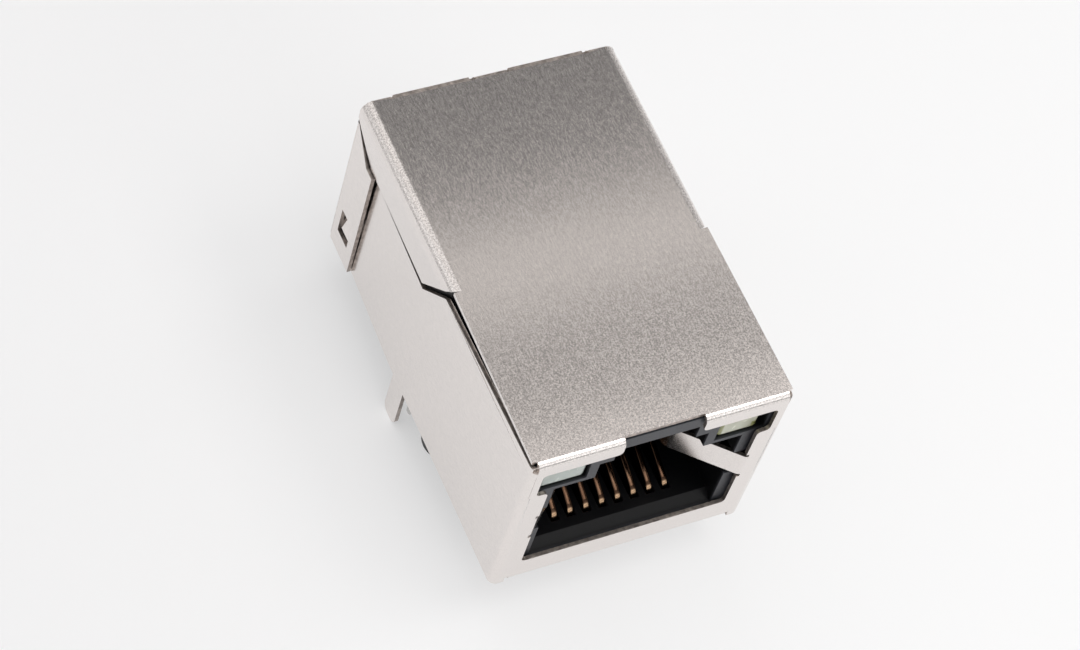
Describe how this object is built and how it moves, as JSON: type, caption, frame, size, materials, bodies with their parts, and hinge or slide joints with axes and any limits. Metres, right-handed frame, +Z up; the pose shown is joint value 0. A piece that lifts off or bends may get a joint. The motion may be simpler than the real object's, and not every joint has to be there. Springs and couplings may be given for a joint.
{
  "type": "rj45 board jack",
  "caption": "Board-mounted latch-up modular jack with magnetics, two rectangular indicator lamps, sprung ground fingers and a folded nickel-plated shield.",
  "frame": {"origin": "on the board's surface, midway between the two locating posts", "axes": "+Z up from the board, +Y from the port's mouth to the back, +X to the right seen from the port"},
  "size_m": [0.0162, 0.0254, 0.0169],
  "materials": {
    "nickel_sheet": "satin plated sheet with fine grain",
    "black_moulding": "matt moulded",
    "gold_contact": "gold flashed",
    "lamp_resin_left": "clear tinted resin",
    "lamp_resin_right": "clear tinted resin",
    "tinned_lead": "tinned",
    "carrier_moulding": "matt moulded",
    "board_laminate": "solder mask",
    "ferrite": "sintered",
    "magnet_wire": "enamelled wire",
    "capacitor_body": "fired",
    "resistor_body": "glazed top"
  },
  "bodies": {
    "root": {"shield": "nickel_sheet", "housing": "black_moulding", "contact_1": "gold_contact", "contact_2": "gold_contact", "contact_3": "gold_contact", "contact_4": "gold_contact", "contact_5": "gold_contact", "contact_6": "gold_contact", "contact_7": "gold_contact", "contact_8": "gold_contact", "led_left": "lamp_resin_left", "led_right": "lamp_resin_right", "led_lead_1": "tinned_lead", "led_lead_2": "tinned_lead", "led_lead_3": "tinned_lead", "led_lead_4": "tinned_lead", "contact_carrier": "carrier_moulding", "magnetics_case": "carrier_moulding", "terminal_pin_1": "tinned_lead", "terminal_pin_2": "tinned_lead", "terminal_pin_3": "tinned_lead", "terminal_pin_4": "tinned_lead", "terminal_pin_5": "tinned_lead", "terminal_pin_6": "tinned_lead", "terminal_pin_7": "tinned_lead", "terminal_pin_8": "tinned_lead", "terminal_pin_9": "tinned_lead", "terminal_pin_10": "tinned_lead", "transformer_core_1": "ferrite", "transformer_core_2": "ferrite", "transformer_core_3": "ferrite", "transformer_core_4": "ferrite", "transformer_winding_1": "magnet_wire", "transformer_winding_2": "magnet_wire", "transformer_winding_3": "magnet_wire", "transformer_winding_4": "magnet_wire", "choke_core_1": "ferrite", "choke_core_2": "ferrite", "choke_core_3": "ferrite", "choke_core_4": "ferrite", "choke_winding_1": "magnet_wire", "choke_winding_2": "magnet_wire", "choke_winding_3": "magnet_wire", "choke_winding_4": "magnet_wire", "circuit_board": "board_laminate", "capacitor": "capacitor_body", "resistor_1": "resistor_body", "resistor_2": "resistor_body", "resistor_3": "resistor_body", "resistor_4": "resistor_body"}
  },
  "joints": []
}
